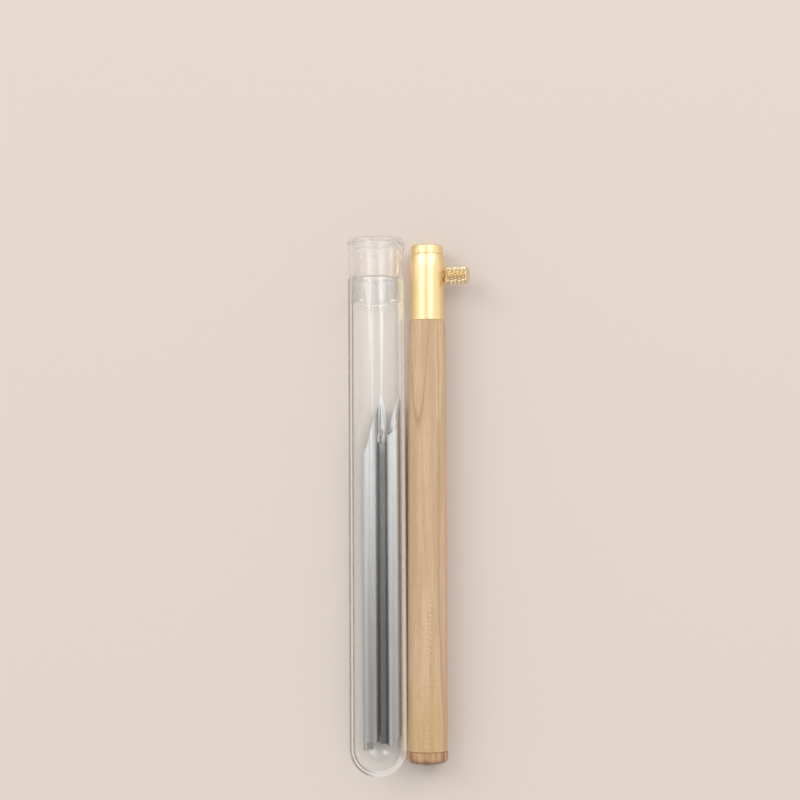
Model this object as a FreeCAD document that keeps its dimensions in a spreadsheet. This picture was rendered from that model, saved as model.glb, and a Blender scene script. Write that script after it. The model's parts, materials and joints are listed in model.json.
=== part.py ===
"""A punch needle: a wooden handle with a brass chuck and a knurled thumbscrew, and its three
hollow steel needles, which lie in a clear capped tube beside the handle.

Everything lies on the ground as it comes to rest. +Y points to the mouth of the chuck, +Z up,
and +X to the side that the thumbscrew points to. The origin is on the ground under the middle
of the whole set. Lengths are in millimetres and angles in degrees.
"""

import FreeCAD, Part
import Sketcher

import math
import os

from FreeCAD import Placement, Rotation, Vector

# Every driving size, under the name that its cell of the sheet has
SIZES = {
    # Brass chuck
    "chuck_length": 21.9,
    "chuck_radius": 5.05,
    "nose_radius": 4.68,
    "nose_length": 2.7,
    "nose_taper": 3.6,
    "nose_round": 0.7,
    "groove_width": 0.3,
    "groove_depth": 0.12,
    "chuck_edge": 0.15,
    "needle_bore_radius": 2.6,
    "mouth_chamfer": 0.3,
    "socket_radius": 3.9,
    "socket_depth": 9.5,
    # Thumbscrew
    "screw_setback": 9.0,
    "screw_lean": 16.0,
    "screw_hole_radius": 1.5,
    "screw_play": 0.05,
    "screw_tip_gap": 0.15,
    "knob_gap": 0.3,
    "knob_radius": 2.6,
    "knob_length": 6.4,
    "knurl_depth": 0.28,
    "knob_end_radius": 2.45,
    "knob_end_length": 0.45,
    "knob_end_chamfer": 0.35,
    "knob_dome": 0.25,
    # Wooden handle
    "handle_length": 122.4,
    "handle_front_radius": 5.2,
    "handle_shaft_radius": 5.52,
    "handle_back_radius": 5.7,
    "handle_neck": 18.0,
    "handle_edge": 0.25,
    "glue_gap": 0.05,
    # Wooden butt button
    "butt_radius": 5.85,
    "butt_length": 3.7,
    "butt_round": 1.8,
    "butt_dome": 0.4,
    "butt_edge": 0.2,
    "spigot_radius": 3.6,
    "spigot_length": 6.0,
    "yarn_hole_radius": 2.1,
    # Clear tube
    "tube_length": 141.4,
    "tube_radius": 8.15,
    "tube_wall": 1.0,
    "rim_round": 0.35,
    "tube_lean": 0.33,
    "tube_gap": 0.05,
    "tube_overhang": 3.4,
    # Cap of the tube
    "cap_height": 11.4,
    "cap_skirt_inset": 0.35,
    "cap_lip_inset": 0.05,
    "cap_lip_height": 3.2,
    "cap_lip_step": 0.3,
    "cap_round": 0.9,
    "cap_top": 1.2,
    "cap_wall": 1.1,
    "plug_length": 7.2,
    "plug_play": 0.07,
    "plug_chamfer": 0.5,
    "cap_seat_gap": 0.05,
    # Needles, each with its own length, radius, wall, point and place in the tube
    "large_length": 97.5,
    "large_radius": 2.5,
    "large_wall": 0.4,
    "large_point": 14.6,
    "large_eye_radius": 1.0,
    "large_eye_length": 1.4,
    "large_eye_setback": 8.6,
    "large_roll": 108.0,
    "large_rise": 0.0,
    "large_lift": 0.1,
    "medium_length": 99.2,
    "medium_radius": 2.0,
    "medium_wall": 0.35,
    "medium_point": 11.7,
    "medium_eye_radius": 0.8,
    "medium_eye_length": 0.7,
    "medium_eye_setback": 6.0,
    "medium_roll": 63.0,
    "medium_rise": 1.5,
    "medium_lift": 0.02,
    "small_length": 99.1,
    "small_radius": 1.25,
    "small_wall": 0.25,
    "small_point": 14.9,
    "small_eye_radius": 0.5,
    "small_eye_length": 0.8,
    "small_eye_setback": 10.8,
    "small_roll": -22.0,
    "small_rise": 1.9,
    "small_lift": 2.3,
    "nest_angle": 27.8,
    "nest_gap": 0.02,
    "needle_seat": 0.9,
    "notch_length": 2.4,
}

# How many diamonds of knurling go round the knob, and how many half diamonds lie along it
KNURLS_AROUND = 18
KNURL_ROWS = 5

NEEDLES = ("large", "medium", "small")

X_AXIS = Vector(1, 0, 0)
Y_AXIS = Vector(0, 1, 0)
Z_AXIS = Vector(0, 0, 1)


class Size:
    """A number together with the formula of sheet cells that it comes from."""

    def __init__(self, number, formula):
        self.number = number
        self.formula = formula

    def __add__(self, other):
        return Size(self.number + number_of(other), f"({self.formula} + {formula_of(other)})")

    def __sub__(self, other):
        return Size(self.number - number_of(other), f"({self.formula} - {formula_of(other)})")

    def __mul__(self, other):
        return Size(self.number * number_of(other), f"({self.formula} * {formula_of(other)})")

    def __truediv__(self, other):
        return Size(self.number / number_of(other), f"({self.formula} / {formula_of(other)})")

    def __neg__(self):
        return Size(-self.number, f"(0 - {self.formula})")


def number_of(value):
    return value.number if isinstance(value, Size) else value


def formula_of(value):
    return value.formula if isinstance(value, Size) else str(value)


def size(name):
    return Size(SIZES[name], f"Sizes.{name}")


def bind(thing, name, value):
    """Ties a property, or a constraint of a sketch, to the sheet."""
    if isinstance(value, Size):
        thing.setExpression(name, value.formula)


def make_sheet(doc):
    sheet = doc.addObject("Spreadsheet::Sheet", "Sizes")
    for row, (name, number) in enumerate(SIZES.items(), start=1):
        sheet.set(f"A{row}", name)
        sheet.set(f"B{row}", str(number))
        sheet.setAlias(f"B{row}", name)
    return sheet


def new_body(doc, name):
    body = doc.addObject("PartDesign::Body", name)
    body.Label = name
    return body


def new_sketch(body, name, role):
    """A sketch on one of the body's own origin planes."""
    sketch = body.newObject("Sketcher::SketchObject", name)
    plane = next(f for f in body.Origin.OriginFeatures if f.Role == role)
    sketch.AttachmentSupport = [(plane, "")]
    sketch.MapMode = "FlatFace"
    return sketch


def constrain(sketch, kind, *places, value=None):
    """Adds one constraint. A value is tied to the sheet."""
    if value is None:
        sketch.addConstraint(Sketcher.Constraint(kind, *places))
        return
    index = sketch.addConstraint(Sketcher.Constraint(kind, *places, number_of(value)))
    bind(sketch, f"Constraints[{index}]", value)


def arc_between(start, end, radius):
    """The short arc from start to end. A positive radius turns left, a negative one right."""
    middle = (start + end) / 2
    chord = end - start
    left = Vector(-chord.y, chord.x, 0) / chord.Length
    reach = math.sqrt(max(radius * radius - chord.Length**2 / 4, 0))
    centre = middle + left * math.copysign(reach, radius)
    first, last = (start, end) if radius > 0 else (end, start)
    angles = [math.atan2(p.y - centre.y, p.x - centre.x) for p in (first, last)]
    if angles[1] < angles[0]:
        angles[1] += 2 * math.pi
    return Part.ArcOfCircle(Part.Circle(centre, Z_AXIS, abs(radius)), *angles)


def draw_outline(sketch, corners):
    """Draws a closed outline. A corner is (x, y), or (x, y, radius) where an arc leads to it."""
    points = [Vector(number_of(c[0]), number_of(c[1]), 0) for c in corners]
    edges = []
    for start, end, corner in zip(points, points[1:] + points[:1], corners[1:] + corners[:1]):
        if len(corner) == 2:
            index = sketch.addGeometry(Part.LineSegment(start, end))
            edges.append((index, 1, 2))
            continue
        radius = number_of(corner[2])
        index = sketch.addGeometry(arc_between(start, end, radius))
        edges.append((index, 1, 2) if radius > 0 else (index, 2, 1))
        constrain(sketch, "Radius", index, value=corner[2] if radius > 0 else -corner[2])
    for edge, before, corner in zip(edges, edges[-1:] + edges[:-1], corners):
        constrain(sketch, "Coincident", before[0], before[2], edge[0], edge[1])
        constrain(sketch, "DistanceX", -1, 1, edge[0], edge[1], value=corner[0])
        constrain(sketch, "DistanceY", -1, 1, edge[0], edge[1], value=corner[1])


def draw_circle(sketch, x, y, radius):
    centre = Vector(number_of(x), number_of(y), 0)
    index = sketch.addGeometry(Part.Circle(centre, Z_AXIS, number_of(radius)))
    constrain(sketch, "DistanceX", -1, 1, index, 3, value=x)
    constrain(sketch, "DistanceY", -1, 1, index, 3, value=y)
    constrain(sketch, "Radius", index, value=radius)


def draw_slot(sketch, low, high, radius):
    """Draws an upright slot with round ends, about the vertical axis of the sketch."""
    lines = []
    for x, start, end in ((radius, low, high), (-radius, high, low)):
        first = Vector(number_of(x), number_of(start), 0)
        last = Vector(number_of(x), number_of(end), 0)
        line = sketch.addGeometry(Part.LineSegment(first, last))
        lines.append(line)
        for point, y in ((1, start), (2, end)):
            constrain(sketch, "DistanceX", -1, 1, line, point, value=x)
            constrain(sketch, "DistanceY", -1, 1, line, point, value=y)
    for y, turn, before, after in ((high, 0.0, 0, 1), (low, math.pi, 1, 0)):
        circle = Part.Circle(Vector(0, number_of(y), 0), Z_AXIS, number_of(radius))
        arc = sketch.addGeometry(Part.ArcOfCircle(circle, turn, turn + math.pi))
        constrain(sketch, "Coincident", lines[before], 2, arc, 1)
        constrain(sketch, "Coincident", arc, 2, lines[after], 1)
        constrain(sketch, "DistanceY", -1, 1, arc, 3, value=y)


def turned(body, corners, name="turning"):
    """A piece turned about its own Z axis from an outline of (radius, height) corners."""
    sketch = new_sketch(body, name + "_outline", "XZ_Plane")
    draw_outline(sketch, corners)
    turning = body.newObject("PartDesign::Revolution", name)
    turning.Profile = sketch
    turning.ReferenceAxis = (sketch, ["V_Axis"])
    turning.Angle = 360
    return turning


def cut_through(body, sketch, name, both_ways=True, flip=False):
    """Cuts the sketch through the whole body, to both sides of its plane or to one."""
    cut = body.newObject("PartDesign::Pocket", name)
    cut.Profile = sketch
    cut.Type = "ThroughAll"
    cut.SideType = "Symmetric" if both_ways else "One side"
    cut.Reversed = flip
    return cut


def make_chuck(doc):
    """The brass collar. It grips a needle in its bore, and the handle's tenon in its socket."""
    body = new_body(doc, "brass_collar")
    top = size("chuck_length")
    outer = size("chuck_radius")
    nose = size("nose_radius")
    bore = size("needle_bore_radius")
    chamfer = size("mouth_chamfer")
    socket = size("socket_radius")
    rounding = size("nose_round")
    groove = top - size("nose_length")
    half_groove = size("groove_width") / 2
    taper = size("nose_taper")
    drop = outer - nose
    taper_radius = (taper * taper + drop * drop) / (drop * 2.0)
    edge = size("chuck_edge")
    turned(
        body,
        [
            (socket, 0.0),
            (outer - edge, 0.0),
            (outer, edge),
            (outer, groove - half_groove - taper),
            (nose, groove - half_groove, taper_radius),
            (nose - size("groove_depth"), groove),
            (nose, groove + half_groove),
            (nose, top - rounding),
            (nose - rounding, top, rounding),
            (bore + chamfer, top),
            (bore, top - chamfer),
            (bore, size("socket_depth")),
            (socket, size("socket_depth")),
        ],
    )
    hole = new_sketch(body, "screw_hole_outline", "YZ_Plane")
    draw_circle(hole, 0.0, top - size("screw_setback"), size("screw_hole_radius"))
    cut_through(body, hole, "screw_hole", both_ways=False, flip=True)
    return body


def make_handle(doc):
    """The wooden handle, bored through for yarn, with a tenon in front and a socket behind."""
    body = new_body(doc, "wooden_handle")
    length = size("handle_length")
    front = size("handle_front_radius")
    shaft = size("handle_shaft_radius")
    back = size("handle_back_radius")
    edge = size("handle_edge")
    neck = size("handle_neck")
    gap = size("glue_gap")
    tenon = size("socket_radius") - gap
    tenon_top = length + size("socket_depth") - gap
    bore = size("needle_bore_radius")
    counterbore = size("spigot_radius") + gap
    floor = size("spigot_length") + gap
    turned(
        body,
        [
            (counterbore, 0.0),
            (back - edge, 0.0),
            (back, edge),
            (shaft, length - neck),
            (front, length - edge),
            (front - edge, length),
            (tenon, length),
            (tenon, tenon_top),
            (bore, tenon_top),
            (bore, floor),
            (counterbore, floor),
        ],
    )
    return body


def make_butt(doc):
    """The rounded wooden button that closes the handle's end around the yarn hole."""
    body = new_body(doc, "butt_button")
    outer = size("butt_radius")
    depth = size("butt_length")
    rounding = size("butt_round")
    edge = size("butt_edge")
    shoulder = depth - size("butt_dome")
    hole = size("yarn_hole_radius")
    spigot = size("spigot_radius")
    turned(
        body,
        [
            (spigot, 0.0),
            (spigot, size("spigot_length")),
            (hole, size("spigot_length")),
            (hole, -depth),
            (outer - rounding, -shoulder),
            (outer, rounding - shoulder, rounding),
            (outer, -edge),
            (outer - edge, 0.0),
        ],
    )
    return body


def knurled_ring(radius, depth, length, around, rows):
    """A drum whose side is covered with four-sided pyramids, from height 0 to length."""
    columns = 2 * around

    def corner(column, row):
        reach = radius if (column + row) % 2 else radius - depth
        turn = 2 * math.pi * column / columns
        return Vector(reach * math.cos(turn), reach * math.sin(turn), length * row / rows)

    faces = []
    for row in range(rows + 1):
        for column in range((row + 1) % 2, columns, 2):
            peak = corner(column, row)
            east = corner(column + 1, row)
            west = corner(column - 1, row)
            if row < rows:
                north = corner(column, row + 1)
                faces += [(peak, east, north), (peak, north, west)]
            if row > 0:
                south = corner(column, row - 1)
                faces += [(peak, west, south), (peak, south, east)]
    faces += [tuple(corner(column, row) for column in range(columns)) for row in (0, rows)]
    shell = Part.Shell([Part.Face(Part.makePolygon([*face, face[0]])) for face in faces])
    return Part.Solid(shell)


def make_thumbscrew(doc, sheet):
    """The clamping screw: a shank in the chuck's wall, a knurled drum and a plain domed end."""
    bore = size("needle_bore_radius")
    tip = bore + size("screw_tip_gap")
    shank = size("screw_hole_radius") - size("screw_play")
    inner = size("chuck_radius") + size("knob_gap")
    outer = inner + size("knob_length")
    end = outer + size("knob_end_length")
    rim = size("knob_end_radius")
    chamfer = size("knob_end_chamfer")
    flat = rim - chamfer
    dome = size("knob_dome")
    dome_radius = (flat * flat + dome * dome) / (dome * 2.0)
    core = size("knob_radius") - size("knurl_depth") * 2.0
    body = new_body(doc, "thumbscrew_core")
    turned(
        body,
        [
            (0.0, tip),
            (shank, tip),
            (shank, inner),
            (core, inner),
            (core, outer),
            (rim, outer),
            (rim, end - chamfer),
            (flat, end),
            (0.0, end + dome, dome_radius),
        ],
    )
    knurl = doc.addObject("Part::Feature", "knurl")
    knurl.Shape = knurled_ring(
        sheet.get("knob_radius"),
        sheet.get("knurl_depth"),
        sheet.get("knob_length"),
        KNURLS_AROUND,
        KNURL_ROWS,
    )
    knurl.Placement = Placement(Vector(0, 0, inner.number), Rotation())
    bind(knurl, "Placement.Base.z", inner)
    screw = doc.addObject("Part::Fuse", "thumbscrew")
    screw.Label = "thumbscrew"
    screw.Base = body
    screw.Tool = knurl
    return screw


def make_tube(doc):
    """The clear tube, with a round closed end and an open mouth."""
    body = new_body(doc, "needle_tube")
    outer = size("tube_radius")
    wall = size("tube_wall")
    inner = outer - wall
    top = size("tube_length")
    rounding = size("rim_round")
    turned(
        body,
        [
            (0.0, 0.0),
            (outer, outer, outer),
            (outer, top - rounding),
            (outer - rounding, top, rounding),
            (inner, top),
            (inner, outer),
            (0.0, wall, -inner),
        ],
    )
    return body


def make_cap(doc):
    """The hollow cap. Its plug fills the tube's mouth, and height 0 is at the tube's rim."""
    body = new_body(doc, "tube_cap")
    seat = size("cap_seat_gap")
    top = seat + size("cap_height")
    outer = size("tube_radius") - size("cap_skirt_inset")
    lip = size("tube_radius") - size("cap_lip_inset")
    lip_foot = top - size("cap_lip_height")
    rounding = size("cap_round")
    plug = size("tube_radius") - size("tube_wall") - size("plug_play")
    chamfer = size("plug_chamfer")
    inner = plug - size("cap_wall")
    foot = -size("plug_length")
    turned(
        body,
        [
            (0.0, top),
            (0.0, top - size("cap_top")),
            (inner, top - size("cap_top")),
            (inner, foot),
            (plug - chamfer, foot),
            (plug, foot + chamfer),
            (plug, seat),
            (outer, seat),
            (outer, lip_foot - size("cap_lip_step")),
            (lip, lip_foot),
            (lip, top - rounding),
            (lip - rounding, top, rounding),
        ],
    )
    return body


def make_needle(doc, kind):
    """A hollow needle. Its point is at the top, scooped open towards +Y, with an eye behind."""
    body = new_body(doc, "needle_" + kind)
    length = size(kind + "_length")
    radius = size(kind + "_radius")
    point = size(kind + "_point")
    margin = radius
    ring = new_sketch(body, "ring", "XY_Plane")
    draw_circle(ring, 0.0, 0.0, radius)
    draw_circle(ring, 0.0, 0.0, radius - size(kind + "_wall"))
    pad = body.newObject("PartDesign::Pad", "barrel")
    pad.Profile = ring
    pad.Length = length.number
    bind(pad, "Length", length)

    heel = length - point
    bend = heel + radius * 1.2
    side = new_sketch(body, "side_cuts", "YZ_Plane")
    draw_outline(
        side,
        [
            (radius * 1.2, heel - radius * 0.2),
            (radius * 0.1, bend),
            (-radius, length),
            (-radius, length + margin),
            (radius * 1.2, length + margin),
        ],
    )
    draw_outline(
        side,
        [
            (-radius * 1.2, -margin),
            (radius * 0.2, -margin),
            (radius * 0.2, size("notch_length")),
            (-radius * 1.2, size("notch_length")),
        ],
    )
    cut_through(body, side, "point_and_notch")

    eye = new_sketch(body, "eye_outline", "XZ_Plane")
    eye_radius = size(kind + "_eye_radius")
    half = size(kind + "_eye_length") / 2.0
    centre = length - size(kind + "_eye_setback")
    draw_slot(eye, centre - half, centre + half, eye_radius)
    cut_through(body, eye, "eye")
    return body


def lying(roll=0.0, turn=0.0):
    """The rotation that lays a piece's Z axis along +Y, rolls it about that axis and turns it."""
    return Rotation(Z_AXIS, turn) * Rotation(Y_AXIS, roll) * Rotation(X_AXIS, -90)


def nest_angles(sheet):
    """Where each needle's axis lies: its reach from the tube's axis and its angle from straight down.

    The large and the medium needle lie on the tube's wall and hold the small one between them.
    """
    bore = sheet.get("tube_radius") - sheet.get("tube_wall")
    reach = {kind: bore - sheet.get(kind + "_radius") - sheet.get(kind + "_lift") for kind in NEEDLES}

    def between(one, other):
        side = sheet.get(one + "_radius") + sheet.get(other + "_radius") + sheet.get("nest_gap")
        a, b = reach[one], reach[other]
        return math.degrees(math.acos((a * a + b * b - side * side) / (2 * a * b)))

    small = sheet.get("nest_angle")
    angles = {
        "small": small,
        "large": small - between("large", "small"),
        "medium": small + between("small", "medium"),
    }
    return reach, angles


def place_handle(sheet, pieces):
    """Lays the handle along +Y with its axis on x = 0 and its butt's outer end at y = 0."""
    height = sheet.get("butt_radius")
    joint = sheet.get("butt_length")
    rear = joint + sheet.get("handle_length")
    front = rear + sheet.get("chuck_length")
    lean = sheet.get("screw_lean")
    pieces["butt_button"].Placement = Placement(Vector(0, joint, height), lying())
    pieces["wooden_handle"].Placement = Placement(Vector(0, joint, height), lying())
    pieces["brass_collar"].Placement = Placement(Vector(0, rear, height), lying(-lean))
    screw = Vector(0, front - sheet.get("screw_setback"), height)
    pieces["thumbscrew"].Placement = Placement(screw, Rotation(Y_AXIS, 90 - lean))


def place_tube(sheet, pieces):
    """Lays the tube on the ground against the butt, leaning away from the handle in front."""
    turn = sheet.get("tube_lean")
    height = sheet.get("tube_radius")
    axis = Rotation(Z_AXIS, turn).multVec(Y_AXIS)
    across = Rotation(Z_AXIS, turn).multVec(X_AXIS)
    touching = sheet.get("tube_radius") + sheet.get("butt_radius") + sheet.get("tube_gap")
    step = sheet.get("tube_radius") - sheet.get("butt_radius")
    apart = math.sqrt(touching * touching - step * step)
    run = (sheet.get("tube_overhang") + sheet.get("butt_length") / 2) / axis.y
    beside = Vector(-apart, sheet.get("butt_length") / 2, height)
    bottom = beside - axis * run
    pieces["needle_tube"].Placement = Placement(bottom, lying(0, turn))
    rim = bottom + axis * sheet.get("tube_length")
    pieces["tube_cap"].Placement = Placement(rim, lying(0, turn))
    reach, angles = nest_angles(sheet)
    for kind in NEEDLES:
        angle = math.radians(angles[kind])
        aside = across * (reach[kind] * math.sin(angle)) - Z_AXIS * (reach[kind] * math.cos(angle))
        start = sheet.get("tube_radius") - sheet.get("needle_seat") + sheet.get(kind + "_rise")
        roll = 180 - sheet.get(kind + "_roll")
        place = bottom + axis * start + aside
        pieces["needle_" + kind].Placement = Placement(place, lying(roll, turn))


def centre_set(pieces):
    """Moves everything so that the origin is under the middle of the set."""
    boxes = [piece.Shape.optimalBoundingBox(False) for piece in pieces.values()]
    middle = Vector(
        (min(b.XMin for b in boxes) + max(b.XMax for b in boxes)) / 2,
        (min(b.YMin for b in boxes) + max(b.YMax for b in boxes)) / 2,
        0,
    )
    for piece in pieces.values():
        placement = piece.Placement
        placement.Base = placement.Base - middle
        piece.Placement = placement


def check(doc, pieces):
    """Stops if any object of the document failed, or if a piece isn't one sound solid."""
    for thing in doc.Objects:
        if {"Invalid", "Error"} & set(thing.State):
            raise SystemExit(f"{thing.Name} failed: {thing.State}")
    for name, piece in pieces.items():
        shape = piece.Shape
        if shape.isNull() or not shape.isValid() or len(shape.Solids) != 1:
            raise SystemExit(f"{name} isn't one sound solid")


def main():
    doc = FreeCAD.newDocument("punch_needle")
    sheet = make_sheet(doc)
    doc.recompute()
    pieces = {
        "wooden_handle": make_handle(doc),
        "butt_button": make_butt(doc),
        "brass_collar": make_chuck(doc),
        "thumbscrew": make_thumbscrew(doc, sheet),
        "needle_tube": make_tube(doc),
        "tube_cap": make_cap(doc),
    }
    for kind in NEEDLES:
        pieces["needle_" + kind] = make_needle(doc, kind)
    doc.recompute()
    check(doc, pieces)
    place_handle(sheet, pieces)
    place_tube(sheet, pieces)
    doc.recompute()
    centre_set(pieces)
    doc.recompute()
    check(doc, pieces)
    os.makedirs("parts", exist_ok=True)
    for name, piece in pieces.items():
        piece.Shape.exportStep(f"parts/{name}.step")
        print(name, round(piece.Shape.Volume, 2), "mm3 at", piece.Placement.Base)


main()
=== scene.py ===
"""The looks of the punch needle and its tube of needles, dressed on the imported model.

The frame's axes hold: +Y runs along the handle to the mouth of its chuck and +Z is up.
Lengths are in metres, and MM turns the drawing's millimetres into them.
"""

import json
import math

import bmesh
import bpy
from mathutils import Matrix, Vector


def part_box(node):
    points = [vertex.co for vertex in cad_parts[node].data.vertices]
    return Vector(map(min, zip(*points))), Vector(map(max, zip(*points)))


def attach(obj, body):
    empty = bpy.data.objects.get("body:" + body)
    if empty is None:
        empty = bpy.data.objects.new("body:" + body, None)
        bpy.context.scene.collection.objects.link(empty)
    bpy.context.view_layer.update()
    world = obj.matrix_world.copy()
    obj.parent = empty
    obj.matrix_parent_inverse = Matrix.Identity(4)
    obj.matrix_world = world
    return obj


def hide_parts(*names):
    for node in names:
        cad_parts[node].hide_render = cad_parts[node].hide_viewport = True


MM = 0.001
NO_RADIUS = 1e-9
Z_AXIS = Vector((0, 0, 1))
WHITE = (1.0, 1.0, 1.0)

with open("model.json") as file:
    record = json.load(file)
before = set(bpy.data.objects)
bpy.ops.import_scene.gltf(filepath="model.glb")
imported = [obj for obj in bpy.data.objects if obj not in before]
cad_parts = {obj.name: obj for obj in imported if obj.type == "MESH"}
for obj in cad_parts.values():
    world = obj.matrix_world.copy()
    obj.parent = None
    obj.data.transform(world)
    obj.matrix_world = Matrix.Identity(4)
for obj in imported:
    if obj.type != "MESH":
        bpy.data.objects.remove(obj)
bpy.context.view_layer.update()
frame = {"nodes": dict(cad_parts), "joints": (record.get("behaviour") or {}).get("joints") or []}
joints = {joint["name"]: joint for joint in frame["joints"]}
tube_axis = Vector(joints["cap_pull"]["axis"])
screw_axis = Vector(joints["screw_turn"]["axis"])
# The point where the screw's axis meets the handle's
crossing = Vector(joints["screw_turn"]["pos_m"])

# Camera: where it stands, the point of the ground that fills the picture's centre, and its lens
CAMERA_PLACE = Vector((-2.535, -9.242, 540.0)) * MM
CAMERA_AIM = Vector((-2.535, 30.758, 0.0)) * MM
CAMERA_LENS = 83.97
CAMERA_SENSOR = 36.0
CAMERA_CLIP = (0.01, 20)

# Points around the tube and the cap, along the tube, and along their arcs
CLEAR_AROUND = 160
TUBE_STEPS = 12
TUBE_FOOT_STEPS = 32
TUBE_RIM_STEPS = 6
CAP_EDGE_STEPS = 10
CAP_INNER_STEPS = 8

# Clear tube
TUBE_LENGTH = 141.4 * MM
TUBE_WALL = 1.0 * MM
TUBE_RIM_ROUND = 0.35 * MM

# Cap, with the mark of its moulding gate on top
CAP_HEIGHT = 11.4 * MM
CAP_SKIRT_INSET = 0.35 * MM
CAP_LIP_INSET = 0.05 * MM
CAP_LIP_HEIGHT = 3.2 * MM
CAP_LIP_STEP = 0.3 * MM
CAP_ROUND = 0.9 * MM
CAP_TOP = 1.2 * MM
CAP_WALL = 1.1 * MM
CAP_SEAT_GAP = 0.05 * MM
PLUG_LENGTH = 7.2 * MM
PLUG_PLAY = 0.07 * MM
PLUG_CHAMFER = 0.5 * MM
GATE_RADIUS = 1.2 * MM
GATE_DEPTH = 0.25 * MM
GATE_SLOPE = 0.1 * MM

# Thumbscrew, measured outwards along its axis from the handle's axis
SCREW_TIP = 2.75 * MM
SHANK_RADIUS = 1.45 * MM
THREAD_PITCH = 0.5 * MM
THREAD_DEPTH = 0.28 * MM
THREAD_ROWS = 40
KNOB_INNER = 5.35 * MM
KNOB_LENGTH = 6.4 * MM
KNOB_RADIUS = 2.6 * MM
KNOB_NECK = 0.7 * MM
KNOB_TRIM = 0.12 * MM
KNOB_END_RADIUS = 2.45 * MM
KNOB_END_LENGTH = 0.45 * MM
KNOB_END_CHAMFER = 0.35 * MM
KNOB_END_INSET = 0.3 * MM
KNOB_END_RISE = 0.05 * MM
KNOB_DOME = 0.25 * MM
DOME_STEPS = 8
SCREW_SHARP = 20

# Knurling: its diamonds, the steps from a tip to the next groove, how much tips are flattened, and
# how far its rows are shifted
KNURL_DEPTH = 0.46 * MM
KNURLS_AROUND = 18
KNURL_ROWS = 5
FACET_STEPS = 4
KNURL_TIP = 1.05
SCREW_AROUND = 2 * KNURLS_AROUND * FACET_STEPS
KNURL_STEPS = KNURL_ROWS * FACET_STEPS
KNURL_SHIFT = FACET_STEPS // 2

# How fine each noise of the woods is: its cells per metre across, along and up
FIBRE_NOISE = (2600, 60, 2600)
CLOUD_NOISE = (420, 30, 420)
PORE_NOISE = (5200, 420, 5200)
WAVER_NOISE = (90, 45, 90)
BUTT_FIBRE_NOISE = (2200, 120, 2200)
BUTT_STREAK_NOISE = (900, 60, 900)

# The spans below are the start and end of a smooth step, and some give its low and high level too.
# In the wood, lengths are in the millimetres of handle_space, and turns are degrees around the
# handle's axis.

# Ring lines: their tilt, spacing and place, the profile of one ring, how far they run out towards
# the butt, and how deep they reach
RING_TILT = 50.0
RING_PITCH = 4.4
RING_START = 0.42
RING_WAVER = 0.5
RING_SHAPE = [(0.0, 0.6), (0.035, 0.6), (0.07, 0.1), (0.16, 0.0), (0.9, 0.0), (0.98, 0.2), (1.0, 0.5)]
RING_DRIFT_ALONG = (-75.0, -25.0, 2.4, 0.0)
RING_DRIFT_DEEP = (2.0, 4.5, 1.0, 0.0)
RING_REACH = (3.0, 3.6, 1.0, 0.0)

# The pointed figure in front: its turn, how it spreads, where its tip is, and its line's profile
CROWN_TURN = 30.0
CROWN_SPREAD = 40.7
CROWN_TIP = 23.9
CROWN_WAVER = 9.0
CROWN_CLOUD = 3.0
CROWN_SPAN = (-12.0, 12.0)
CROWN_SHAPE = [(0.0, 0.0), (0.36, 0.05), (0.46, 0.42), (0.5, 0.7), (0.6, 0.52), (0.76, 0.1), (1.0, 0.0)]

# The column of ripples: its place, spacing and slant, where it shows, and its darkest and palest tone
RIPPLE_PLACE = 1.15
RIPPLE_WAVER = 0.6
RIPPLE_PITCH = 1.3
RIPPLE_SLANT = 0.8
RIPPLE_PHASE = 5.0
RIPPLE_ACROSS = (0.4, 1.5, 1.0, 0.0)
RIPPLE_BELOW = (-15.0, -35.0, 0.3, 1.0)
RIPPLE_ABOVE = (22.0, 34.0, 0.0, 0.7)
RIPPLE_CLOUD = (0.3, 0.6, 0.3, 1.0)
RIPPLE_TONES = ((0.9, 0.89, 0.87), (1.1, 1.11, 1.13))

# How strongly clouds, fibres and pores show, by their noise, and the painted shade on the flanks, by their
# turn
CLOUD_SPAN = (0.3, 0.7)
FIBRE_SPAN = (0.38, 0.72, 0.0, 0.9)
PORE_SPAN = (0.6, 0.72, 0.0, 0.6)
FLANK_TURN = 3.0
PAINTED_FLANK_SHADE = (50.0, 72.0, 0.0, 0.6)
BUTT_STREAK_SPAN = (0.45, 0.66)
BUTT_FIBRE_SPAN = (0.4, 0.75, 0.0, 0.5)

# Relief of the woods: how high fibres stand, and ripples and pores as shares of that
GRAIN_DEPTH = 0.02 * MM
RIPPLE_RELIEF = 0.4
PORE_RELIEF = 0.6

# Metal: the span of its scratches. Brass: the rough ring around the screw's hole, tinted redder there as a
# painted reflection of the knob, on the screw's side of the handle only, and the rough shank, which ends
# at the knob
SCRATCH_SPAN = (0.3, 0.7)
SEAT_RADIUS = 3.1 * MM
SEAT_EDGE = 0.75
SEAT_OUTWARD = (2 * MM, 3 * MM)
SHANK_SPAN = (KNOB_INNER, KNOB_INNER + 0.1 * MM)

# Tube wall: its tint, the bands of painted shade on its left edge and of painted glow on its right edge,
# by how far the wall faces away, and where its painted darker rim and its painted whitish foot begin and
# end
CLEAR_TINT = (0.985, 0.99, 0.99)
PAINTED_EDGE_SHADE = (0.1, 0.09, 0.085)
PAINTED_RIM_SHADE = (0.78, 0.76, 0.74)
PAINTED_SHADE_BAND = [(0.0, 0.0), (0.6, 0.0), (0.66, 1.0), (0.78, 1.0), (0.86, 0.3), (1.0, 0.3)]
PAINTED_GLOW_BAND = [(0.0, 0.0), (0.45, 0.0), (0.62, 1.0), (0.84, 1.0), (0.94, 0.3), (1.0, 0.3)]
PAINTED_GLOW = 0.55
EDGE_WIDTH = 4 * MM
RIM_START = 0.5 * MM
RIM_END = 0.3 * MM
FOOT_START = 2 * MM
FOOT_END = 5 * MM

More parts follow.
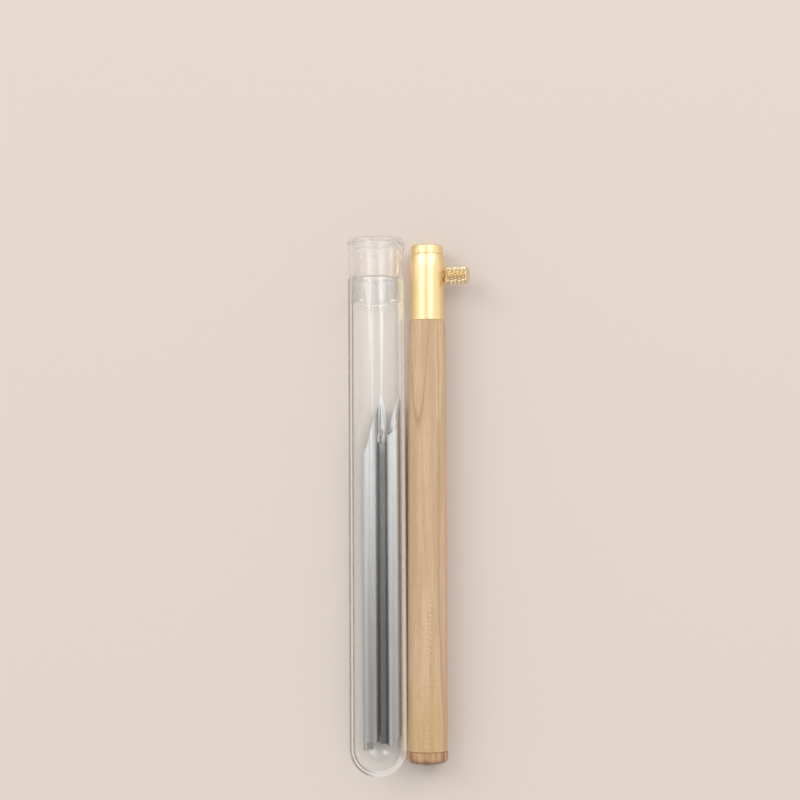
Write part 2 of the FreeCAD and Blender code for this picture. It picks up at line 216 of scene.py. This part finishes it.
# Stage: the floor, the sky's levels at its sides and over the far and the near half, and the lamps'
# common aim
FLOOR_SIDE = 6.0
FLOOR_COLOUR = (0.686, 0.604, 0.546)
SKY_SIDES = WHITE
SKY_OVERHEAD = (0.5, 0.8)
SKY_HALVES = (-0.06, 0.04, 0.4, 1.0)
LAMP_AIM = Vector((0, 0.05, 0))


# Meshes


def arc(centre, radius, start, end, steps):
    """Points of an arc in the plane of an outline. Angles are in degrees from the radius axis."""
    points = []
    for step in range(steps + 1):
        angle = math.radians(start + (end - start) * step / steps)
        points.append((centre[0] + radius * math.cos(angle), centre[1] + radius * math.sin(angle)))
    return points


def add_object(name, data):
    """A new object in the scene."""
    made = bpy.data.objects.new(name, data)
    bpy.context.scene.collection.objects.link(made)
    return made


def finish_mesh(name, bm, place, body, material, sharp=35):
    """Makes an object of the bmesh, in its place, smooth but for its sharp edges, on its body."""
    bmesh.ops.recalc_face_normals(bm, faces=bm.faces)
    mesh = bpy.data.meshes.new(name)
    bm.to_mesh(mesh)
    bm.free()
    mesh.transform(place)
    mesh.shade_smooth()
    mesh.set_sharp_from_angle(angle=math.radians(sharp))
    mesh.materials.append(material)
    piece = add_object(name, mesh)
    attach(piece, body)
    return piece


def place_along(axis, base):
    """The matrix that stands a piece's own Z axis along axis, from base."""
    turn = Z_AXIS.rotation_difference(axis).to_matrix().to_4x4()
    return Matrix.Translation(base) @ turn


def ring_of(bm, radius, height, around):
    """A ring of points about the Z axis, or one point where the radius is nothing.

    The radius is a number, or a function that gives it for each step around.
    """
    if not callable(radius) and radius < NO_RADIUS:
        return [bm.verts.new((0, 0, height))]
    ring = []
    for step in range(around):
        angle = 2 * math.pi * step / around
        reach = radius(step) if callable(radius) else radius
        ring.append(bm.verts.new((reach * math.cos(angle), reach * math.sin(angle), height)))
    return ring


def skin(bm, lower, upper):
    """Faces between two rings. Either may be a single point."""
    count = max(len(lower), len(upper))
    for step in range(count):
        after = (step + 1) % count
        corners = [lower[step % len(lower)], lower[after % len(lower)]]
        corners += [upper[after % len(upper)], upper[step % len(upper)]]
        bm.faces.new(list(dict.fromkeys(corners)))


def turned(outline, around):
    """A bmesh turned about the Z axis, from an outline of (radius, height) with both ends on it."""
    bm = bmesh.new()
    rings = [ring_of(bm, radius, height, around) for radius, height in outline]
    for lower, upper in zip(rings, rings[1:]):
        skin(bm, lower, upper)
    return bm


# Shader nodes


def new_material(name):
    """A new material, its node tree and its Principled shader."""
    material = bpy.data.materials.new(name)
    material.use_nodes = True
    return material, *tree_and_shader(material)


def tree_and_shader(material):
    """A material's node tree and its Principled shader."""
    tree = material.node_tree
    return tree, tree.nodes["Principled BSDF"]


def coordinate_axes(tree, kind="Object"):
    """X, Y and Z of a point of the object, in metres, or of another kind of coordinate."""
    coordinates = tree.nodes.new("ShaderNodeTexCoord")
    parts = tree.nodes.new("ShaderNodeSeparateXYZ")
    tree.links.new(coordinates.outputs[kind], parts.inputs[0])
    return [parts.outputs[axis] for axis in "XYZ"]


def math_node(tree, operation, first, second=0.0):
    """One step of arithmetic on numbers or sockets."""
    made = tree.nodes.new("ShaderNodeMath")
    made.operation = operation
    for socket, value in zip(made.inputs, (first, second)):
        if isinstance(value, (int, float)):
            socket.default_value = value
        else:
            tree.links.new(value, socket)
    return made.outputs[0]


def total(tree, *values):
    """The sum of numbers and sockets."""
    result = values[0]
    for value in values[1:]:
        result = math_node(tree, "ADD", result, value)
    return result


def product(tree, *values):
    """The product of numbers and sockets."""
    result = values[0]
    for value in values[1:]:
        result = math_node(tree, "MULTIPLY", result, value)
    return result


def vector_node(tree, operation, first, second=None):
    """One step of vector arithmetic on a socket and, for most, a constant vector."""
    made = tree.nodes.new("ShaderNodeVectorMath")
    made.operation = operation
    tree.links.new(first, made.inputs[0])
    if second is not None:
        made.inputs[1].default_value = second
    return made.outputs["Value" if operation in ("DOT_PRODUCT", "LENGTH") else "Vector"]


def noise(tree, scale, offset=(0, 0, 0), detail=2, roughness=0.5):
    """Noise over the object. scale is how fine it is, in cells per metre by axis."""
    coordinates = tree.nodes.new("ShaderNodeTexCoord")
    mapping = tree.nodes.new("ShaderNodeMapping")
    mapping.inputs["Location"].default_value = offset
    mapping.inputs["Scale"].default_value = scale
    tree.links.new(coordinates.outputs["Object"], mapping.inputs["Vector"])
    made = tree.nodes.new("ShaderNodeTexNoise")
    made.inputs["Scale"].default_value = 1.0
    made.inputs["Detail"].default_value = detail
    made.inputs["Roughness"].default_value = roughness
    tree.links.new(mapping.outputs["Vector"], made.inputs["Vector"])
    return made.outputs["Fac"]


def ramp(tree, value, levels):
    """A level by value. levels holds (value, level) pairs, all from 0 to 1."""
    made = tree.nodes.new("ShaderNodeValToRGB")
    elements = made.color_ramp.elements
    while len(elements) < len(levels):
        elements.new(0.5)
    for element, (place, level) in zip(elements, levels):
        element.position = place
        element.color = (level, level, level, 1)
    tree.links.new(value, made.inputs["Fac"])
    return made.outputs["Color"]


def smooth_step(tree, value, start, end, low=0.0, high=1.0):
    """A smooth rise from low to high while the value goes from start to end."""
    made = tree.nodes.new("ShaderNodeMapRange")
    made.interpolation_type = "SMOOTHSTEP"
    for name, number in (("From Min", start), ("From Max", end), ("To Min", low), ("To Max", high)):
        made.inputs[name].default_value = number
    tree.links.new(value, made.inputs["Value"])
    return made.outputs["Result"]


def mix(tree, factor, first, second, kind="MIX"):
    """Two colours mixed by a factor. Each is a tuple or a socket."""
    made = tree.nodes.new("ShaderNodeMix")
    made.data_type = "RGBA"
    made.blend_type = kind
    for socket, value in zip((made.inputs[0], made.inputs[6], made.inputs[7]), (factor, first, second)):
        if isinstance(value, (int, float)):
            socket.default_value = value
        elif isinstance(value, tuple):
            socket.default_value = (*value, 1)
        else:
            tree.links.new(value, socket)
    return made.outputs[2]


def bump(tree, shader, height, distance):
    """Relief on the surface, distance metres high where the height is 1."""
    made = tree.nodes.new("ShaderNodeBump")
    made.inputs["Strength"].default_value = 1.0
    made.inputs["Distance"].default_value = distance
    tree.links.new(height, made.inputs["Height"])
    tree.links.new(made.outputs["Normal"], shader.inputs["Normal"])


def handle_space(tree):
    """Millimetres across from the handle's axis, along it from the frame's origin, and up from it."""
    centre = crossing / MM
    return [
        total(tree, product(tree, socket, 1 / MM), -middle)
        for socket, middle in zip(coordinate_axes(tree), (centre.x, 0.0, centre.z))
    ]


def screw_space(tree):
    """Metres outwards along the screw's axis from the handle's, and away from the screw's axis."""
    coordinates = tree.nodes.new("ShaderNodeTexCoord")
    offset = vector_node(tree, "SUBTRACT", coordinates.outputs["Object"], crossing)
    outward = vector_node(tree, "DOT_PRODUCT", offset, screw_axis)
    away = vector_node(tree, "LENGTH", vector_node(tree, "CROSS_PRODUCT", offset, screw_axis))
    return outward, away


# Materials


def wood(name, pale, dark, line):
    """Straight-grained wood: fibres, pores, ring lines that run out along the length, and ripples."""
    material, tree, shader = new_material(name)
    across, along, up = handle_space(tree)
    fibre = noise(tree, FIBRE_NOISE, detail=4, roughness=0.65)
    cloud = noise(tree, CLOUD_NOISE, detail=3)
    pores = noise(tree, PORE_NOISE, offset=(3, 1, 2))
    waver = noise(tree, WAVER_NOISE, offset=(7, 3, 1))
    wander = total(tree, waver, -0.5)

    tilt = math.radians(RING_TILT)
    depth = total(tree, product(tree, up, math.cos(tilt)), product(tree, across, -math.sin(tilt)))
    drift = product(
        tree,
        smooth_step(tree, along, *RING_DRIFT_ALONG),
        smooth_step(tree, depth, *RING_DRIFT_DEEP),
    )
    place = total(tree, depth, drift, product(tree, wander, RING_WAVER), -RING_START)
    rings = ramp(tree, math_node(tree, "FRACT", product(tree, place, 1 / RING_PITCH)), RING_SHAPE)
    rings = product(tree, rings, smooth_step(tree, depth, *RING_REACH))

    turn = math_node(tree, "ARCTAN2", product(tree, across, -1.0), up)
    turn = product(tree, turn, 180 / math.pi)
    off_crown = total(tree, turn, -CROWN_TURN)
    reach = total(
        tree,
        product(tree, off_crown, off_crown, 1 / CROWN_SPREAD),
        product(tree, along, -1.0),
        CROWN_TIP,
        product(tree, wander, CROWN_WAVER),
        product(tree, total(tree, cloud, -0.5), CROWN_CLOUD),
    )
    crown = ramp(tree, smooth_step(tree, reach, *CROWN_SPAN), CROWN_SHAPE)
    edge = math_node(tree, "MAXIMUM", rings, crown)

    side = total(tree, across, -RIPPLE_PLACE, product(tree, waver, RIPPLE_WAVER))
    side = math_node(tree, "ABSOLUTE", side)
    count = product(tree, total(tree, along, product(tree, side, -RIPPLE_SLANT)), 1 / RIPPLE_PITCH)
    count = total(tree, count, product(tree, waver, RIPPLE_PHASE))
    wave = math_node(tree, "SINE", product(tree, count, 2 * math.pi))
    ends = total(tree, smooth_step(tree, along, *RIPPLE_BELOW), smooth_step(tree, along, *RIPPLE_ABOVE))
    where = product(
        tree,
        smooth_step(tree, side, *RIPPLE_ACROSS),
        ends,
        smooth_step(tree, cloud, *RIPPLE_CLOUD),
    )
    ripple = product(tree, wave, where)

    colour = mix(tree, smooth_step(tree, cloud, *CLOUD_SPAN), dark, pale)
    colour = mix(tree, smooth_step(tree, fibre, *FIBRE_SPAN), colour, dark)
    colour = mix(tree, smooth_step(tree, pores, *PORE_SPAN), colour, line)
    colour = mix(tree, edge, colour, line)
    # Painted shade: the wood darkens on the handle's flanks, which turn away from the light above.
    flank = math_node(tree, "ABSOLUTE", total(tree, turn, -FLANK_TURN))
    colour = mix(tree, smooth_step(tree, flank, *PAINTED_FLANK_SHADE), colour, dark)
    lift = mix(tree, total(tree, product(tree, ripple, 0.5), 0.5), *RIPPLE_TONES)
    colour = mix(tree, 1.0, colour, lift, "MULTIPLY")
    tree.links.new(colour, shader.inputs["Base Color"])
    shader.inputs["Roughness"].default_value = 0.5
    relief = total(tree, fibre, product(tree, ripple, RIPPLE_RELIEF), product(tree, pores, -PORE_RELIEF))
    bump(tree, shader, relief, GRAIN_DEPTH)
    return material


def streaked_wood(name, pale, dark):
    """The darker wood of the butt, with a few bold streaks."""
    material, tree, shader = new_material(name)
    fibre = noise(tree, BUTT_FIBRE_NOISE, detail=4, roughness=0.65)
    streak = noise(tree, BUTT_STREAK_NOISE, offset=(5, 2, 0), detail=3)
    colour = mix(tree, smooth_step(tree, streak, *BUTT_STREAK_SPAN), pale, dark)
    colour = mix(tree, smooth_step(tree, fibre, *BUTT_FIBRE_SPAN), colour, dark)
    tree.links.new(colour, shader.inputs["Base Color"])
    shader.inputs["Roughness"].default_value = 0.48
    bump(tree, shader, fibre, GRAIN_DEPTH)
    return material


def metal(name, colour, roughness, grain, depth, spread, wear):
    """Metal with fine marks, scaled by axis. They vary its colour by spread and its roughness by wear."""
    material, tree, shader = new_material(name)
    scratches = noise(tree, grain, detail=4, roughness=0.6)
    shader.inputs["Metallic"].default_value = 1.0
    shades = [tuple(min(1.0, (1 + change) * c) for c in colour) for change in (-spread, spread)]
    shade = mix(tree, smooth_step(tree, scratches, *SCRATCH_SPAN), *shades)
    rough = smooth_step(tree, scratches, *SCRATCH_SPAN, roughness - wear, roughness + wear)
    tree.links.new(shade, shader.inputs["Base Color"])
    tree.links.new(rough, shader.inputs["Roughness"])
    bump(tree, shader, scratches, depth)
    return material


def shade_along(material, start, end, tone):
    """Tones a material along the handle: as it is at start, and its colour times tone at end, for painted
    shade or a tint.
    """
    tree, shader = tree_and_shader(material)
    socket = shader.inputs["Base Color"]
    along = coordinate_axes(tree)[1]
    level = mix(tree, smooth_step(tree, along, start, end), WHITE, tone)
    tree.links.new(mix(tree, 1.0, socket.links[0].from_socket, level, "MULTIPLY"), socket)


def roughen_shank(material, extra):
    """The screw's shank is left as turned, so it scatters light."""
    tree, shader = tree_and_shader(material)
    socket = shader.inputs["Roughness"]
    outward, _ = screw_space(tree)
    inner = smooth_step(tree, outward, *SHANK_SPAN, extra, 0.0)
    tree.links.new(total(tree, socket.links[0].from_socket, inner), socket)


def roughen_seat_paint_reflection(material, tint, extra):
    """Around the screw's hole the brass is rougher, as drilled, and painted a little redder, a painted
    reflection of the knob.
    """
    tree, shader = tree_and_shader(material)
    outward, away = screw_space(tree)
    near = smooth_step(tree, away, SEAT_RADIUS, SEAT_RADIUS * SEAT_EDGE)
    seat = product(tree, near, smooth_step(tree, outward, *SEAT_OUTWARD))
    rough = shader.inputs["Roughness"]
    tree.links.new(total(tree, rough.links[0].from_socket, product(tree, seat, extra)), rough)
    colour = shader.inputs["Base Color"]
    tree.links.new(mix(tree, seat, colour.links[0].from_socket, tint), colour)


def clear_plastic(name, tint, roughness, alpha):
    """Plastic that light passes through.

    Shadow and diffuse rays go straight on, so that light reaches what is inside.
    """
    material, tree, shader = new_material(name)
    shader.inputs["Base Color"].default_value = (*tint, 1)
    shader.inputs["Transmission Weight"].default_value = 1.0
    shader.inputs["IOR"].default_value = 1.49
    shader.inputs["Roughness"].default_value = roughness
    shader.inputs["Coat Weight"].default_value = 0.4
    shader.inputs["Alpha"].default_value = alpha
    shader.inputs["Coat Roughness"].default_value = 0.25
    open_shader = tree.nodes.new("ShaderNodeBsdfTransparent")
    open_shader.inputs["Color"].default_value = (*tint, 1)
    path = tree.nodes.new("ShaderNodeLightPath")
    blend = tree.nodes.new("ShaderNodeMixShader")
    straight = math_node(tree, "MAXIMUM", path.outputs["Is Shadow Ray"], path.outputs["Is Diffuse Ray"])
    tree.links.new(straight, blend.inputs[0])
    tree.links.new(shader.outputs[0], blend.inputs[1])
    tree.links.new(open_shader.outputs[0], blend.inputs[2])
    tree.links.new(blend.outputs[0], tree.nodes["Material Output"].inputs["Surface"])
    return material


def edge_band(tree, levels):
    """Levels for the wall's edges, by how far the wall faces away."""
    facing = tree.nodes.new("ShaderNodeLayerWeight")
    facing.inputs["Blend"].default_value = 0.5
    return ramp(tree, facing.outputs["Facing"], levels)


def paint_edge_shade(material, left_of, rim_at):
    """Painted shade: the thick wall is painted darker along its left side, and a little darker at the
    tube's rim.
    """
    tree, shader = tree_and_shader(material)
    x, y, _ = coordinate_axes(tree)
    left = smooth_step(tree, x, left_of - EDGE_WIDTH, left_of, 1.0, 0.0)
    colour = mix(tree, product(tree, edge_band(tree, PAINTED_SHADE_BAND), left), CLEAR_TINT, PAINTED_EDGE_SHADE)
    rim = smooth_step(tree, y, rim_at - RIM_START, rim_at - RIM_END)
    tree.links.new(mix(tree, rim, colour, PAINTED_RIM_SHADE), shader.inputs["Base Color"])


def paint_edge_glow(material, right_of, foot_at):
    """Painted glow: the wall is painted whitish, less clear, at its right side and its foot, for light
    that runs inside the wall and comes out there.
    """
    tree, shader = tree_and_shader(material)
    x, y, _ = coordinate_axes(tree)
    right = smooth_step(tree, x, right_of, right_of + EDGE_WIDTH)
    foot = smooth_step(tree, y, foot_at - FOOT_START, foot_at - FOOT_END)
    where = math_node(tree, "MAXIMUM", right, foot)
    glow_share = product(tree, edge_band(tree, PAINTED_GLOW_BAND), where, -PAINTED_GLOW)
    tree.links.new(total(tree, glow_share, 1.0), shader.inputs["Transmission Weight"])


handle_wood = wood(
    "handle_wood", pale=(0.665, 0.478, 0.305), dark=(0.53, 0.352, 0.2), line=(0.4, 0.22, 0.115)
)
shade_along(handle_wood, start=-42 * MM, end=-63 * MM, tone=(0.96, 0.95, 0.82))
butt_wood = streaked_wood("butt_wood", pale=(0.53, 0.33, 0.18), dark=(0.31, 0.145, 0.06))
# Painted shade: the butt's wood darkens over its rounded end, which turns away from the light.
shade_along(butt_wood, start=-71.2 * MM, end=-72.8 * MM, tone=(0.38, 0.42, 0.45))
polished_brass = metal(
    "polished_brass", colour=(0.93, 0.72, 0.385), roughness=0.3,
    grain=(250, 4000, 250), depth=0.0002 * MM, spread=0.02, wear=0.012,
)
# Painted reflection: round the screw's hole the brass is tinted redder, for the knob's reflection in the
# collar.
roughen_seat_paint_reflection(polished_brass, tint=(0.95, 0.7, 0.34), extra=0.35)
knurled_brass = metal(
    "knurled_brass", colour=(0.77, 0.615, 0.405), roughness=0.22,
    grain=(2000, 2000, 2000), depth=0.002 * MM, spread=0.05, wear=0.04,
)
roughen_shank(knurled_brass, extra=0.45)
STEEL = {"roughness": 0.3, "grain": (2200, 18, 2200), "depth": 0.0012 * MM, "spread": 0.06, "wear": 0.01}
needle_steel = metal("needle_steel", colour=(0.62, 0.605, 0.59), **STEEL)
# Painted shade: the needles' steel darkens towards the butt, for the darker reflections there.
shade_along(needle_steel, start=25 * MM, end=-60 * MM, tone=(0.67, 0.65, 0.64))
# Painted shade: the thin needle's steel is darker, and darker still along its body behind the tip, for the
# shade it lies in between the two larger needles.
thin_steel_painted_shade = metal("thin_steel_painted_shade", colour=(0.5, 0.49, 0.485), **STEEL)
shade_along(thin_steel_painted_shade, start=22 * MM, end=14 * MM, tone=(0.26, 0.26, 0.26))
tube_plastic = clear_plastic("tube_plastic", CLEAR_TINT, roughness=0.02, alpha=1.0)
cap_plastic = clear_plastic("cap_plastic", (0.99, 0.985, 0.98), roughness=0.13, alpha=0.65)


# Pieces


def make_tube():
    """The clear tube, with a round foot. Gives the middle of its rim, and its radius."""
    low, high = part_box("needle_tube")
    radius = (high.z - low.z) / 2
    ball = Vector((high.x - radius, low.y + radius, low.z + radius))
    inner = radius - TUBE_WALL
    wall = [TUBE_LENGTH * step / TUBE_STEPS for step in range(1, TUBE_STEPS)]
    outline = arc((0, radius), radius, -90, 0, TUBE_FOOT_STEPS)
    outline += [(radius, height) for height in wall]
    lip = (radius - TUBE_RIM_ROUND, TUBE_LENGTH - TUBE_RIM_ROUND)
    outline += arc(lip, TUBE_RIM_ROUND, 0, 90, TUBE_RIM_STEPS)
    outline.append((inner, TUBE_LENGTH))
    outline += [(inner, height) for height in reversed(wall)]
    outline += arc((0, radius), inner, 0, -90, TUBE_FOOT_STEPS)
    base = ball - tube_axis * radius
    place = place_along(tube_axis, base)
    shell = turned(outline, CLEAR_AROUND)
    tube = finish_mesh("clear_tube", shell, place, "kit", tube_plastic)
    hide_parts("needle_tube")
    rim = base + tube_axis * TUBE_LENGTH
    # Painted shade on the tube's left edge and its rim
    paint_edge_shade(tube_plastic, ball.x, rim.y)
    # Painted glow on the tube's right edge and its foot
    paint_edge_glow(tube_plastic, ball.x, ball.y)
    return rim, radius


def make_cap(rim, tube_radius):
    """The clear cap, a hollow plug with a lip, measured along the tube from its rim."""
    top = CAP_SEAT_GAP + CAP_HEIGHT
    skirt = tube_radius - CAP_SKIRT_INSET
    lip = tube_radius - CAP_LIP_INSET
    lip_foot = top - CAP_LIP_HEIGHT
    plug = tube_radius - TUBE_WALL - PLUG_PLAY
    inner = plug - CAP_WALL
    outline = [(0, top - GATE_DEPTH), (GATE_RADIUS, top - GATE_DEPTH), (GATE_RADIUS + GATE_SLOPE, top)]
    outline += arc((lip - CAP_ROUND, top - CAP_ROUND), CAP_ROUND, 90, 0, CAP_EDGE_STEPS)
    outline += [(lip, lip_foot), (skirt, lip_foot - CAP_LIP_STEP)]
    outline += [(skirt, CAP_SEAT_GAP), (plug, CAP_SEAT_GAP)]
    outline += [(plug, PLUG_CHAMFER - PLUG_LENGTH), (plug - PLUG_CHAMFER, -PLUG_LENGTH)]
    outline.append((inner, -PLUG_LENGTH))
    outline += arc((inner - CAP_ROUND, top - CAP_TOP - CAP_ROUND), CAP_ROUND, 0, 90, CAP_INNER_STEPS)
    outline.append((0, top - CAP_TOP))
    shell = turned(outline, CLEAR_AROUND)
    cap = finish_mesh("plug_cap", shell, place_along(tube_axis, rim), "cap", cap_plastic)
    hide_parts("tube_cap")


def thread_reach(height):
    """The thread's radius at a height, by the step around."""
    def reach(step):
        turn = (height / THREAD_PITCH - step / SCREW_AROUND) % 1
        return SHANK_RADIUS - THREAD_DEPTH * abs(2 * turn - 1)
    return reach


def knurl_reach(row, trim):
    """The knurling's radius on a row, by the step around: in a groove, on a tip or between them."""
    def reach(step):
        across = abs((step / FACET_STEPS) % 2 - 1)
        along = abs(((row - KNURL_SHIFT) / FACET_STEPS) % 2 - 1)
        rise = min(1.0, abs(across + along - 1) * KNURL_TIP)
        return KNOB_RADIUS - trim - KNURL_DEPTH * (1 - rise)
    return reach


def screw_outline():
    """The screw's rings as (radius, height) from its tip outwards, and the first knurled one's place."""
    root = SHANK_RADIUS - THREAD_DEPTH
    thread_length = KNOB_INNER - SCREW_TIP - THREAD_PITCH
    outline = [(0, SCREW_TIP), (root, SCREW_TIP)]
    for row in range(1, THREAD_ROWS):
        height = SCREW_TIP + thread_length * row / THREAD_ROWS
        outline.append((thread_reach(height), height))
    outline += [(root, SCREW_TIP + thread_length), (root, KNOB_INNER), (SHANK_RADIUS, KNOB_INNER)]
    first = len(outline)
    knurl_start = KNOB_INNER + KNOB_NECK
    for row in range(KNURL_STEPS + 1):
        height = knurl_start + (KNOB_LENGTH - KNOB_NECK) * row / KNURL_STEPS
        trim = KNOB_TRIM if row in (0, KNURL_STEPS) else 0.0
        outline.append((knurl_reach(row, trim), height))
    outer = KNOB_INNER + KNOB_LENGTH
    end = outer + KNOB_END_LENGTH
    flat = KNOB_END_RADIUS - KNOB_END_CHAMFER
    outline += [(KNOB_END_RADIUS - KNOB_END_INSET, outer), (KNOB_END_RADIUS, outer + KNOB_END_RISE)]
    outline += [(KNOB_END_RADIUS, end - KNOB_END_CHAMFER), (flat, end)]
    dome_radius = (flat * flat + KNOB_DOME * KNOB_DOME) / (2 * KNOB_DOME)
    for step in range(1, DOME_STEPS + 1):
        reach = flat * (1 - step / DOME_STEPS)
        drop = dome_radius - math.sqrt(dome_radius * dome_radius - reach * reach)
        outline.append((reach, end + KNOB_DOME - drop))
    return outline, first


def skin_knurl(bm, lower, upper, row):
    """Faces between two rings of the knurling, each square cut along its diamond's slope."""
    for step in range(SCREW_AROUND):
        after = (step + 1) % SCREW_AROUND
        rising = (step // FACET_STEPS + (row - KNURL_SHIFT) // FACET_STEPS) % 2
        if rising:
            bm.faces.new((lower[step], lower[after], upper[after]))
            bm.faces.new((lower[step], upper[after], upper[step]))
        else:
            bm.faces.new((lower[step], lower[after], upper[step]))
            bm.faces.new((lower[after], upper[after], upper[step]))


def make_thumbscrew():
    """The clamping screw: a threaded shank, a conical neck, a knurled drum and a domed end."""
    outline, first = screw_outline()
    bm = bmesh.new()
    rings = [ring_of(bm, radius, height, SCREW_AROUND) for radius, height in outline]
    for index, (lower, upper) in enumerate(zip(rings, rings[1:])):
        row = index - first
        if 0 <= row < KNURL_STEPS:
            skin_knurl(bm, lower, upper, row)
        else:
            skin(bm, lower, upper)
    place = place_along(screw_axis, crossing)
    screw = finish_mesh(
        "knurled_thumbscrew", bm, place, "clamp_screw", knurled_brass, SCREW_SHARP
    )
    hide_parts("thumbscrew")


def dress(name, material):
    """Gives a CAD node its material."""
    for slot in frame["nodes"][name].material_slots:
        slot.material = material


rim, tube_radius = make_tube()
make_cap(rim, tube_radius)
make_thumbscrew()
dress("wooden_handle", handle_wood)
dress("butt_button", butt_wood)
dress("brass_collar", polished_brass)
dress("needle_large", needle_steel)
dress("needle_medium", needle_steel)
dress("needle_small", thin_steel_painted_shade)


# Stage: floor, studio light and camera


def make_floor():
    """A plain matt floor."""
    mesh = bpy.data.meshes.new("floor")
    half = FLOOR_SIDE / 2
    corners = [(-half, -half, 0), (half, -half, 0), (half, half, 0), (-half, half, 0)]
    mesh.from_pydata(corners, [], [(0, 1, 2, 3)])
    floor = add_object("floor", mesh)
    material, _, shader = new_material("floor_paper")
    shader.inputs["Base Color"].default_value = (*FLOOR_COLOUR, 1)
    shader.inputs["Roughness"].default_value = 0.9
    shader.inputs["Specular IOR Level"].default_value = 0.1
    mesh.materials.append(material)


def make_world():
    """A pale sky, bright at its sides and over the far half, and darker over the near half."""
    world = bpy.data.worlds.new("studio")
    bpy.context.scene.world = world
    world.use_nodes = True
    tree = world.node_tree
    _, y, z = coordinate_axes(tree, "Generated")
    overhead = smooth_step(tree, z, *SKY_OVERHEAD)
    halves = smooth_step(tree, y, *SKY_HALVES)
    background = tree.nodes["Background"]
    tree.links.new(mix(tree, overhead, SKY_SIDES, halves), background.inputs["Color"])
    background.inputs["Strength"].default_value = 1.0


def face(thing, place, aim):
    """Stands a lamp or the camera in its place, facing its aim."""
    thing.location = place
    thing.rotation_euler = (aim - place).to_track_quat("-Z", "Y").to_euler()


def make_lamp(name, place, size, power):
    """A soft rectangular lamp."""
    data = bpy.data.lights.new(name, "AREA")
    data.shape = "RECTANGLE"
    data.size, data.size_y = size
    data.energy = power
    face(add_object(name, data), Vector(place), LAMP_AIM)


def make_camera():
    """The camera, high above the ground and a little tipped, with a long lens."""
    data = bpy.data.cameras.new("camera")
    data.sensor_fit = "HORIZONTAL"
    data.sensor_width = CAMERA_SENSOR
    data.lens = CAMERA_LENS
    data.clip_start, data.clip_end = CAMERA_CLIP
    camera = add_object("camera", data)
    face(camera, CAMERA_PLACE, CAMERA_AIM)
    bpy.context.scene.camera = camera


make_floor()
make_world()
make_lamp("left_softbox", place=(-0.8, 0.55, 0.95), size=(0.5, 0.95), power=3.6)
make_lamp("right_softbox", place=(0.5, 0.55, 0.95), size=(0.6, 0.95), power=3.4)
make_camera()
bpy.context.scene.view_settings.view_transform = "Standard"
